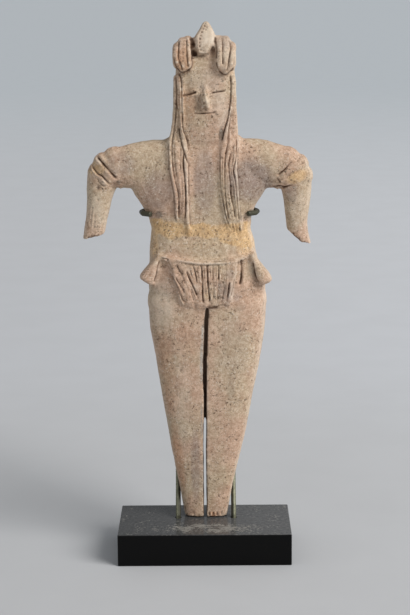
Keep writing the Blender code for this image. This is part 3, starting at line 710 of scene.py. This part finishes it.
SLIT_RIGHT = [(17.7, 124.4), (17.8, 119.9), (17.5, 116), (16.9, 113)]
HEM = [(-8.2, 104.5), (-3.9, 104), (-1.1, 103.6), (1, 103.2), (2.5, 103.5), (5.3, 103.2), (8.2, 103.9),
       (12.8, 105.3)]

stroke(CORD, 0.5, -0.45, 0, burr=0, taper=0.02)
# A painted highlight along the cord, and painted shade in the grooves under it and above its right half.
smear(CORD, 0.45, 0.75)
stroke([(-9, 123.5), (-4.5, 122.8), (-0.9, 122.5), (2.6, 122.5), (8, 122.6)], 0.36, 0.4, 0.6)
stroke([(4.6, 124.2), (6.2, 124.3), (10.1, 124.5), (14.6, 124.8)], 0.36, 0.4, 0.6)
stroke([(-18.6, 125.5), (-17.2, 125.5), (-15.6, 125.4)], 0.38, 0.7, 0.9)
stroke([(-15.7, 125.3), (-15.7, 124.4)], 0.38, 0.6, 0.9)
for cut in APRON_CUTS:
    stroke(*cut, burr=0.25, taper=0.04)
for line in APRON_SCRATCHES:
    stroke(line, 0.24, 0.3, 0.45, taper=0.06)
stroke([(-14.4, 118), (-12, 113.3), (-9.9, 108.6), (-8.6, 105.3)], 0.36, 0.4, 0.6, burr=0)
# The dark tinge along the hem and under its middle is a painted shadow.
stroke(HEM, 0.4, 0.3, 0.5, burr=0)
smear([(1, 103.2), (4, 102.8), (8, 103.4)], 0.9, 0.9, "groove")
stroke(SLIT_RIGHT, 0.5, 1.2, 1, taper=0.06)
# The dark tinge beside each belt end is a painted shadow.
stroke(BELT_END_LEFT, 0.42, 0.8, 0.8)
stroke(BELT_END_RIGHT, 0.5, 0.9, 0.95)
dab(-10.3, 119.8, 0.6, 0.3, 0.7)
for x, height, radius in ((7.9, 113.2, 3), (12.9, 118.5, 4), (15.3, 106.9, 3)):
    dab(x, height, radius, 0, 0.6, "mauve")
dab(-3.5, 112.5, 1.4, 0, 0.7, "pale")
dab(1.4, 108.5, 1.6, 0, 0.5, "ochre")

# %% [markdown]
# The legs are two flat slabs with a slit between them, and the slit's left edge is bevelled, ash grey and
# lightened by a painted highlight.
# The toes are four short strokes on the right foot, worn away on the left one.

# %% The legs and the toes
GRIT_DABS = [  # x, height and radius
    (16.2, 66.5, 0.8), (17.6, 65.2, 0.5), (15.4, 67.9, 0.5), (14.6, 55, 0.9), (15.6, 53.8, 0.5),
    (7, 92, 0.5),
]
SLIT_BEVEL = [(slit_at(height) - 1.1, height) for height in (61, 68, 77, 86, 95, 101)]
stroke(SLIT_BEVEL, 0.6, 0.35, 0, burr=0, taper=0.15)
# The ash grey smears along the bevel are also a painted highlight.
smear([(x - 0.5, height) for x, height in SLIT_BEVEL], 0.8, 1, "ash")
smear([(slit_at(height) - 1.5, height) for height in (36, 48, 58, 61)], 0.6, 0.7, "ash")
smear([(slit_at(height) - 1.2, height) for height in (4, 20, 36)], 0.5, 0.5, "mauve")
smear([(slit_at(height) + 1.1, height) for height in (4, 20, 36, 48, 58, 70, 85, 98)], 0.35, 0.35)
for x, height, radius in GRIT_DABS:
    dab(x, height, radius, 0.15, 0.7, "grit")
for x in (2, 3.9, 5.8, 7.9):
    stroke([(x, 0.2), (x + 0.1, 2.9)], 0.38, 0.5, 0.8, taper=0.3)
for x in (-5, -3):
    stroke([(x, 0.2), (x, 1.9)], 0.38, 0.25, 0.3, taper=0.3)

# %% [markdown]
# The photograph shows only the front. The back of the head gets plain strands in the same hand, so that it
# doesn't look unfinished from behind.

# %% The back of the head
for x in np.linspace(-8.5, 12.3, 9):
    sway = 0.5 * math.sin(x)
    stroke([(x * 0.85 + 0.3, 214), (x + sway, 205), (x, 195), (x + sway / 2, 184)],
           0.4, 0.5, 0.6, front=False)

# %% [markdown]
# A stroke less than a millimetre wide needs squares smaller than that. So the squares near a stroke or a
# small dab are halved, and so are those of the face. Halving everything would make four times as many.

# %% Halving the squares along the strokes
FINE_REACH, DAB_REACH, WIDE_DAB = 1.1, 0.7, 1.5
SIDEWAYS = 0.1  # skin that leans back more than this isn't marked from the front
FACE_BOX = (-8.0, 11.0, 187.0, 203.0)  # x from and to, height from and to


def lumpy(spots, size, seed):
    """Soft noise, mostly between -0.5 and 0.5, with features of about this size."""
    shift = Vector((17.3, 5.1, 9.7)) * seed
    return np.array([noise.noise(Vector(spot) / size + shift) for spot in spots])


def along_line(line, reach, front):
    """The points within reach of a line, how far each is from it, and how far along it lies, from 0 to 1."""
    low, high = line.min(0) - reach, line.max(0) + reach
    flat = places[:, [0, 2]]
    near = ((flat > low) & (flat < high)).all(1)
    near &= facing[:, 1] < SIDEWAYS if front else facing[:, 1] > -SIDEWAYS
    picked = np.nonzero(near)[0]
    here = flat[picked]
    lengths = np.linalg.norm(np.diff(line, axis=0), axis=1)
    starts = np.concatenate([[0], np.cumsum(lengths)])
    distance, along = np.full(len(here), np.inf), np.zeros(len(here))
    for start, end, length, before in zip(line, line[1:], lengths, starts):
        share = np.clip((here - start) @ (end - start) / length**2, 0, 1)
        gap = np.linalg.norm(here - start - share[:, None] * (end - start), axis=1)
        closer = gap < distance
        distance[closer] = gap[closer]
        along[closer] = (before + share * length)[closer] / starts[-1]
    inside_reach = distance < reach
    return picked[inside_reach], distance[inside_reach], along[inside_reach]


places, facing = drawn(points_of(clay.data)), normals_of(clay.data)
halved = np.zeros(len(places), bool)
for made in strokes:
    if made.depth:
        halved[along_line(made.line, FINE_REACH, made.front)[0]] = True
x, y, height = places.T
for made in dabs:
    if made.radius < WIDE_DAB:
        near = np.hypot(x - made.x, height - made.height) < made.radius + DAB_REACH
        halved |= near & (facing[:, 1] < SIDEWAYS)
west, east, foot, top = FACE_BOX
halved |= (x > west) & (x < east) & (height > foot) & (height < top) & (facing[:, 1] < 0)

form = bmesh.new()
form.from_mesh(clay.data)
form.verts.ensure_lookup_table()
fine_edges = [edge for edge in form.edges if halved[edge.verts[0].index] and halved[edge.verts[1].index]]
bmesh.ops.subdivide_edges(form, edges=fine_edges, cuts=1, use_grid_fill=True)
form.to_mesh(clay.data)
form.free()
clay.data.calc_loop_triangles()
print(len(strokes), "strokes,", len(clay.data.loop_triangles), "triangles on the clay")

# %% [markdown]
# Now the strokes are carried out. No hand presses evenly, so both the depth and the dirt of a stroke come
# and go along it, and its edges wander a little.

# %% Carrying out the strokes
UNEVEN_DEPTH, UNEVEN_EDGE = 0.5, 0.25
SLIT_FLOOR = 4.2  # the y of the slit's floor
SLIT_TOP, THROUGH_TOP = 103, 47.0  # the heights where the slit ends, and where it stops going right through
edges = edges_of(clay.data)
places, facing = drawn(points_of(clay.data)), normals_of(clay.data)
worked = np.zeros(len(places))
MASKS = ("groove", "ochre", "rust", "smoke", "mauve", "pale", "grit", "ash")
masks = {name: np.zeros(len(places)) for name in MASKS}
pressure = 1 + UNEVEN_DEPTH * lumpy(places, 3.5, 11)
wander = 1 + UNEVEN_EDGE * lumpy(places, 1.1, 12)


def add_to(mask, values, picked=slice(None)):
    masks[mask][picked] = np.maximum(masks[mask][picked], values)


for made in strokes:
    picked, distance, along = along_line(made.line, 4 * made.width, made.front)
    distance = distance * wander[picked]
    ends = unit_step(np.minimum(along, 1 - along), -0.02, made.taper) * pressure[picked]
    cut = np.exp(-((distance / made.width) ** 2)) * ends
    ridge = np.exp(-(((distance - 2 * made.width) / (0.8 * made.width)) ** 2)) * ends
    worked[picked] += made.depth * (made.burr * ridge - cut)
    add_to(made.mask, cut * made.stain, picked)

for made in dabs:
    picked = np.nonzero(facing[:, 1] < SIDEWAYS)[0]
    away = np.hypot(places[picked, 0] - made.x, places[picked, 2] - made.height) / made.radius
    hollow = np.exp(-((away * wander[picked]) ** 2))
    worked[picked] -= made.depth * hollow
    add_to(made.mask, hollow * made.stain, picked)

x, y, height = places.T
# Inside the slit the clay is darkened as painted shade.
open_clay = (height < SLIT_TOP) & ((y < SLIT_FLOOR) | (height < THROUGH_TOP))
in_slit = (abs(x - slit_at(height)) < 0.75) & open_clay
slit_wall = (abs(x - slit_at(height)) < 1.6) & (abs(facing[:, 0]) > 0.6) & open_clay
add_to("groove", 0.8, in_slit | slit_wall)

# %% [markdown]
# Clay pressed by hand is never flat. Three sizes of smooth noise make it lumpy: broad for the palm, smaller
# for the fingertips, and finest for the grit. Then a seeded scatter of pits stands for the grains that fell
# out.

# %% Lumps and pits
LUMPS = ((14.0, 0.22), (5.0, 0.14), (1.9, 0.08))  # the size of the lumps, and their height
PIT_COUNT = 260
PIT_RADIUS, PIT_DEPTH = (0.35, 0.9), (0.12, 0.4)
RANDOM_SEED = 7

for seed, (size, rise) in enumerate(LUMPS):
    worked += rise * lumpy(places, size, seed + 1)

scatter = np.random.default_rng(RANDOM_SEED)
for picked in scatter.integers(0, len(places), PIT_COUNT):
    radius = scatter.uniform(*PIT_RADIUS)
    away = np.linalg.norm(places - places[picked], axis=1) / radius
    hollow = np.exp(-(away**2))
    worked -= scatter.uniform(*PIT_DEPTH) * hollow
    masks["grit"] = np.maximum(masks["grit"], hollow)

places = places + facing * worked[:, None]
points = np.clip(in_metres(places), figure_low, figure_high)
put_points(clay.data, points)
print(f"the clay was moved by up to {abs(worked).max():.2f} units")

# %% [markdown]
# Handling and burial have coloured the clay. Raised edges are rubbed pale, and the clay is made darker in the
# hollows: both are worked out from how sharply the skin bends at each point. Skin that faces sideways gets a
# painted highlight, stronger where it faces right, towards the lamp. The rest is chance, and is placed where
# the photograph shows it: an ochre band round the waist and on the armbands, a rusty flush down one leg,
# smoky patches on the chest and the other thigh, ash grey on one bun. A few of those ovals are painted light
# instead: a painted highlight on the right of the face, and painted shade left of the nose and beside the
# right lock of hair.

# %% Where the clay is worn and stained, and where light and shade are painted on it
BEND_ROUNDS = 4
PALE_BEND, DARK_BEND = (0.10, 0.45), (0.08, 0.40)
FLANK_TURN = (0.55, 0.95)  # how far the skin faces sideways where a flank begins, and where it is palest
OVAL_TINGES = {  # for each mask: x, height, half width, half height, strength and, for some, how it leans
    "ochre": [
        (17, 137.5, 6, 4.5, 0.9), (-22, 132, 3.2, 9, 0.6), (19, 130, 5, 5, 0.55),
        (-9, 143, 6, 5, 0.3), (-46.5, 165.5, 4.2, 3.2, 0.6), (-42, 160.5, 3, 3, 0.35),
        (43, 161.5, 5.5, 4.2, 0.7, 0.6), (0, 132, 18, 3.5, 0.3),
    ],
    "rust": [
        (-17, 72, 7, 34, 0.45, -0.13), (-12, 30, 3.5, 26, 0.55, -0.10),
        (-8, 82, 7, 22, 0.35), (-7.5, 214, 6, 8, 0.6), (11.5, 211, 5.5, 6, 0.4),
        (-6.5, 194, 6, 12, 0.5), (24, 160, 10, 9, 0.35), (12, 20, 3.5, 16, 0.3),
        (3.8, 1.5, 2.4, 1.6, 0.8),
    ],
    "ash": [(11, 222, 5, 4, 0.5)],
    "mauve": [
        (14, 84, 9, 22, 0.35), (1.5, 160, 7, 20, 0.6), (-20, 156, 9, 12, 0.55),
        (-4, 26, 3.2, 26, 0.6), (40.5, 154, 4, 6, 0.5), (11, 110, 6.5, 7, 0.5),
        (22, 160, 14, 13, 0.75), (-36, 168, 9, 8, 0.5),
    ],
    # The oval at x 8, height 196 is a painted highlight on the right of the face.
    "pale": [
        (3, 205, 9, 6, 0.3), (8, 196, 4.5, 8, 0.4), (-48, 146, 5, 10, 0.4),
        (44, 146, 5, 10, 0.3), (-19, 104, 7, 14, 0.5), (2.5, 223, 6, 9, 0.6),
        (11.5, 215, 5, 8, 0.45), (-10, 60, 5, 30, 0.25),
    ],
    # The ovals at x -2, height 195 and x 9, height 181 are painted shade, left of the nose and beside the
    # right lock of hair.
    "smoke": [
        (-2, 195, 4, 5, 0.3), (1.5, 178, 8, 5.5, 0.28), (9, 181, 1.6, 4, 0.7),
        (9.8, 112, 4, 4, 0.4), (12.5, 64, 3, 9, 0.35), (17.5, 103, 3.5, 3, 0.35),
        (-19.5, 145, 2.5, 2.5, 0.6), (22.5, 145, 2.5, 2.5, 0.6),
    ],
}


def bend(points, edges):
    """How sharply the skin bends outwards at each point, evened out."""
    lengths = np.linalg.norm(points[edges[:, 0]] - points[edges[:, 1]], axis=1)
    total = np.bincount(edges.ravel(), np.repeat(lengths, 2), len(points))
    square = (total / np.bincount(edges.ravel(), minlength=len(points))) ** 2
    outwards = ((points - neighbour_mean(points, edges)) * normals_of(clay.data)).sum(1) / square * UNIT
    values = outwards[:, None]
    for _ in range(BEND_ROUNDS):
        values = neighbour_mean(values, edges)
    return values[:, 0]


bent = bend(points, edges)
# Painted highlight on skin that faces sideways, stronger where it faces right, towards the lamp.
painted_rim_highlight = (0.35 + 0.3 * (facing[:, 0] > 0)) * unit_step(abs(facing[:, 0]), *FLANK_TURN)
masks["pale"] = np.maximum.reduce([masks["pale"], unit_step(bent, *PALE_BEND), painted_rim_highlight])
masks["hollow"] = unit_step(-bent, *DARK_BEND)
print("bend from", np.percentile(bent, 2).round(3), "to", np.percentile(bent, 98).round(3))


def stain(mask, x, height, half_width, half_height, strength, lean=0.0):
    """Adds a soft oval stain to a mask, on the front, the sides and the back alike."""
    across = places[:, 0] - x - lean * (places[:, 2] - height)
    away = np.hypot(across / half_width, (places[:, 2] - height) / half_height)
    add_to(mask, strength * (1 - unit_step(away, 0.45, 1.15)))


WAIST_TOP, WAIST_BOTTOM = 141.0, 134.5
x, y, height = places.T
ragged = lumpy(places * np.array([1, 0.4, 1]), 4.5, 5) + 0.5 * lumpy(places, 1.6, 6)
lower_edge = WAIST_BOTTOM + 2.0 * ragged - 5.5 * unit_step(x, 4, 17) + 1.2 * unit_step(-x, 14, 20)
upper_edge = WAIST_TOP + 0.8 * ragged + 2.2 * unit_step(-x, 8, 20)
band = unit_step(height, lower_edge - 1.2, lower_edge + 1.2)
band *= unit_step(-height, -upper_edge - 0.8, -upper_edge + 0.8)
add_to("ochre", (0.85 + 0.25 * ragged) * band * (abs(x) < 27))
for mask, spots in OVAL_TINGES.items():
    for spot in spots:
        stain(mask, *spot)

for name, values in masks.items():
    layer = clay.data.attributes.new(name, "FLOAT", "POINT")
    layer.data.foreach_set("value", np.clip(values, 0, 1).astype(np.float32))
    print(f"{name}: covers {100 * (values > 0.3).mean():.1f} % of the points")

clay.data.shade_smooth()
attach(clay, "root")
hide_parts("figurine")

# %% [markdown]
# The fired clay itself is buff to pink and full of sand. Its colour is built in layers, from the body of the
# clay outwards: a slow drift between two buffs, the stains with edges broken by noise, fine mottling, dark
# and pale grains, and last the darker hollows, the cuts with their dirt and painted shade, and the rubbed
# edges with their painted highlights. It has no gloss at all, so its roughness stays high, and a fine bump
# gives the sandy feel.

# %% The fired clay
BUFF, PINK = colour(208, 188, 162), colour(212, 181, 158)
OCHRE, RUST = colour(226, 191, 145), colour(200, 156, 124)
MAUVE, SMOKE_AND_SHADE = colour(170, 153, 143), colour(112, 106, 98)
ASH = colour(184, 177, 168)
CREAM, DIRT_AND_SHADE = colour(233, 218, 199), colour(76, 52, 38)
DARK_GRAIN, PALE_GRAIN = colour(96, 78, 62), colour(234, 222, 204)

fired = Finish("fired_clay")
where = fired.places()
drift = fired.cloud(where, 22.0, detail=3.0)
patches = fired.cloud(where, 5.0, detail=4.0, roughness=0.6)
mottle = fired.step(fired.cloud(where, 1.5, detail=5.0, roughness=0.75), 0.30, 0.70)
sand = fired.step(fired.cloud(where, 0.45, detail=3.0, roughness=0.75), 0.30, 0.70)

body = fired.blend(fired.step(drift, 0.38, 0.62), BUFF, PINK)
broken = patches - 0.5
for mask, tint in (("rust", RUST), ("mauve", MAUVE), ("smoke", SMOKE_AND_SHADE), ("ochre", OCHRE), ("ash", ASH)):
    share = fired.painted(mask)
    share = fired.step(share + broken * share * 0.9, 0.12, 0.95)
    body = fired.blend(share, body, tint)

darker = fired.blend(1.0, body, colour(206, 193, 183), "MULTIPLY")
body = fired.blend(mottle * 0.95, body, darker)
body = fired.blend(1.0, body, fired.node("ShaderNodeCombineColor", {}, {
    "Red": sand * 0.32 + broken * 0.35 + 0.80, "Green": sand * 0.35 + broken * 0.40 + 0.79,
    "Blue": sand * 0.39 + broken * 0.45 + 0.77}), "MULTIPLY")


CLUSTER_SIZE, CLUSTER_FROM, CLUSTER_TO = 6.0, 0.42, 0.54


def specks(size, start, shift):
    """A mask of small ragged specks that gather in clusters: the peaks of two noises."""
    moved = fired.node("ShaderNodeVectorMath", {"operation": "ADD"}, {"Vector": where, "Vector_001": shift})
    peaks = fired.cloud(moved, size, detail=3.0, roughness=0.75)
    gathered = fired.step(fired.cloud(moved, CLUSTER_SIZE), CLUSTER_FROM, CLUSTER_TO, 0.15, 1.0)
    return fired.step(peaks, start, start + 0.05) * gathered


dark_specks = specks(1.1, 0.57, (31.0, 7.0, 3.0))
pale_specks = specks(0.9, 0.58, (5.0, 41.0, 13.0))
body = fired.blend(dark_specks * 0.85, body, DARK_GRAIN)
body = fired.blend(pale_specks * 0.5, body, PALE_GRAIN)

# The pale mask holds rubbed edges and painted highlights.
rubbed_and_painted_highlight = fired.painted("pale") * fired.step(patches, 0.25, 0.65, 0.35, 1.0)
body = fired.blend(rubbed_and_painted_highlight * 0.7, body, CREAM)
# Darker in the hollows and where grains fell out.
hollows_and_grit = fired.painted("hollow") * 0.5 + fired.painted("grit") * 0.6
body = fired.blend(fired.step(hollows_and_grit + broken * 0.2, 0.1, 1.0, 0.0, 0.65), body, DIRT_AND_SHADE)
# The groove mask holds dirt in the cuts and painted shade and shadows.
cut = fired.painted("groove")
body = fired.blend(fired.step(cut + broken * 0.35, 0.2, 0.95, 0.0, 0.85), body, DIRT_AND_SHADE)

grain_height = sand * 0.4 + mottle * 0.3 - dark_specks * 0.35 + pale_specks * 0.2
bumpy = fired.node("ShaderNodeBump", {}, {"Strength": 0.5, "Distance": 0.25 * UNIT, "Height": grain_height})
clay.data.materials.append(fired.shine(
    Base_Color=body, Roughness=0.84 + sand * 0.12, Normal=bumpy, Specular_IOR_Level=0.25))

# %% [markdown]
# The rods are brass wire, bent by hand round the chest, then painted or left to tarnish to a dull green grey.
# The sides that face each other are painted nearly black as painted shade, and the hooks are made nearly
# black too. The imported rods have eight flat sides. They are skinned again and smoothed round.

# %% The support rods
ROD_SQUARE = 0.36
ROD_ROUNDS = 12
HOOK_FROM = 150.0  # the height over the floor where a rod turns towards the chest


def rod_line(node):
    """The x of a rod's straight part."""
    rod_points = drawn(points_of(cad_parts[node].data))
    return rod_points[rod_points[:, 2] < 0].mean(0)[0]


left_line, right_line = rod_line("support_rod_left"), rod_line("support_rod_right")
ROD_MIDDLE, ROD_INNER = (left_line + right_line) / 2, (right_line - left_line) / 2

brass = Finish("patinated_metal")
rod_place = brass.places()
tarnish = brass.cloud(rod_place, 3.0, detail=4.0, roughness=0.6)
worn = brass.cloud(rod_place, 0.8, detail=2.0)
rod_colour = brass.blend(brass.step(tarnish, 0.35, 0.65), colour(112, 112, 92), colour(140, 139, 116))
rod_colour = brass.blend(brass.step(worn, 0.5, 0.7, 0.0, 0.6), rod_colour, colour(80, 80, 64))
rod_x, _, rod_height = brass.axes(rod_place)
from_middle = rod_x.maths("ABSOLUTE", rod_x - ROD_MIDDLE, 0)
inner = 1 - brass.step(from_middle, ROD_INNER - 0.3, ROD_INNER + 0.3)
hook = brass.step(rod_height, HOOK_FROM, HOOK_FROM + 4.0)
# Painted shade: the sides of the rods that face each other are darkened, and the hooks too.
painted_shade_and_dark_hooks = inner.maths("MAXIMUM", inner * 0.85, hook * 0.8)
rod_colour = brass.blend(painted_shade_and_dark_hooks, rod_colour, colour(44, 42, 32))
rod_bump = brass.node("ShaderNodeBump", {}, {"Strength": 0.3, "Distance": 0.05 * UNIT, "Height": worn})
rod_finish = brass.shine(
    Base_Color=rod_colour, Roughness=0.42 + tarnish * 0.25, Metallic=0.35, Normal=rod_bump)

for side in ("left", "right"):
    node = f"support_rod_{side}"
    rod = fine_skin(node, ROD_SQUARE, f"bent_rod_{side}")
    round_points = smoothed(points_of(rod.data), edges_of(rod.data), ROD_ROUNDS)
    rod_low, rod_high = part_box(node)
    put_points(rod.data, np.clip(round_points, rod_low, rod_high))
    rod.data.shade_smooth()
    rod.data.materials.append(rod_finish)
    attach(rod, "root")
    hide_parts(node)
    print(rod.name, len(rod.data.polygons), "squares")

# %% [markdown]
# The block is black acrylic, polished on every side. Its shape in the imported model is already right, so it
# keeps its mesh and only gets a finish: nearly black, glossy, with the fine grey dust that had settled on its
# top, thickest in front of the feet. A grey haze of dust over the top is painted lighter towards the right,
# the side of the lamp, as a painted sheen.

# %% The polished block
BLOCK_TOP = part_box("base_block")[1].z / UNIT
DUST_MIDDLE, DUST_REACH = (1.0, -12.5), (32.0, 9.0)

acrylic = Finish("polished_black")
block_place = acrylic.places()
along_block, behind, up = acrylic.axes(block_place)
dust_cloud = acrylic.cloud(block_place, 7.0, detail=5.0, roughness=0.65)
dust_specks = acrylic.cloud(block_place, 1.5, detail=5.0, roughness=0.8)
on_top = acrylic.step(up, BLOCK_TOP - 0.4, BLOCK_TOP - 0.05)
across_share = (along_block - DUST_MIDDLE[0]) / DUST_REACH[0]
behind_share = (behind - DUST_MIDDLE[1]) / DUST_REACH[1]
by_feet = 1 - acrylic.step(across_share**2.0 + behind_share**2.0, 0.0, 1.0)
dust = on_top * acrylic.step(dust_specks + by_feet * 0.17 + (dust_cloud - 0.5) * 0.6, 0.58, 0.76)
# A grey dust haze on the top, painted lighter towards the right as a painted sheen.
dust_haze_and_sheen = on_top * acrylic.step(along_block, -40.0, 40.0, 0.15, 0.31)
dust_haze_and_sheen = dust_haze_and_sheen * acrylic.step(dust_specks, 0.3, 0.7, 0.55, 1.45)
block_colour = acrylic.blend(dust_haze_and_sheen, grey(0.001), colour(150, 150, 150))
block_colour = acrylic.blend(dust * 0.7, block_colour, colour(158, 154, 146))
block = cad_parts["base_block"]
block.data.materials.clear()
block.data.materials.append(acrylic.shine(
    Base_Color=block_colour, Roughness=0.16 + dust * 0.5, IOR=1.25, Specular_IOR_Level=0.5))
